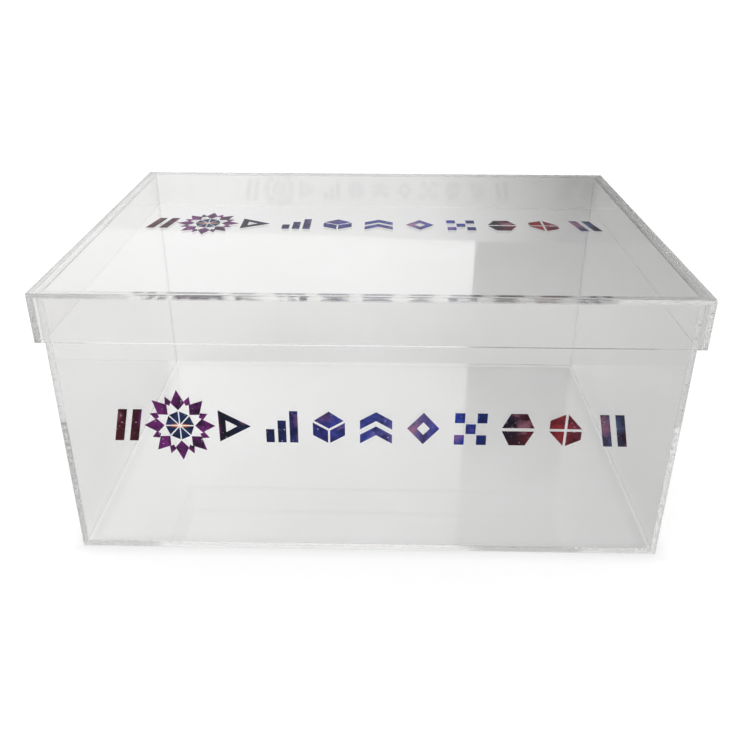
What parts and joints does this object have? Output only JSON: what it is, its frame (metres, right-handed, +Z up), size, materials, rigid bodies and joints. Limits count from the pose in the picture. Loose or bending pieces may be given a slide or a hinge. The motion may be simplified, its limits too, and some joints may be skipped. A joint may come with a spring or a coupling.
{
  "type": "shoe box",
  "caption": "Clear acrylic shoe box: an open body of cemented flat panels and a lift-off lid whose rim fits over it, each with a printed band of plain shapes.",
  "frame": {"origin": "middle of the footprint, on the underside of the floor panel that the box stands on", "axes": "+X to the right along the long side, +Y to the back, +Z up; the front with the printed band faces -Y"},
  "size_m": [0.364, 0.262, 0.1711],
  "materials": {
    "clear_acrylic": "clear cast acrylic sheet, polished faces and saw-cut, flame-polished edges",
    "cement": "cured solvent cement, clear with fine trapped bubbles",
    "ink_film": "full-colour printed film, satin, dark blue, violet and maroon with fine specks"
  },
  "bodies": {
    "box": {"body_back_panel": "clear_acrylic", "body_corner_seam_back_left": "cement", "body_corner_seam_back_right": "cement", "body_corner_seam_front_left": "cement", "body_corner_seam_front_right": "cement", "body_floor_panel": "clear_acrylic", "body_floor_seam_back": "cement", "body_floor_seam_front": "cement", "body_floor_seam_left": "cement", "body_floor_seam_right": "cement", "body_front_panel": "clear_acrylic", "body_left_panel": "clear_acrylic", "body_right_panel": "clear_acrylic", "front_print": "ink_film"},
    "lid": {"lid_back_rim": "clear_acrylic", "lid_corner_seam_back_left": "cement", "lid_corner_seam_back_right": "cement", "lid_corner_seam_front_left": "cement", "lid_corner_seam_front_right": "cement", "lid_front_rim": "clear_acrylic", "lid_left_rim": "clear_acrylic", "lid_print": "ink_film", "lid_right_rim": "clear_acrylic", "lid_top_panel": "clear_acrylic", "lid_top_seam_back": "cement", "lid_top_seam_front": "cement", "lid_top_seam_left": "cement", "lid_top_seam_right": "cement"}
  },
  "joints": [
    {"name": "lid_lift", "type": "slide", "parent": "box", "child": "lid", "axis": [0, 0, 1], "range_m": [0, 0.12]}
  ]
}
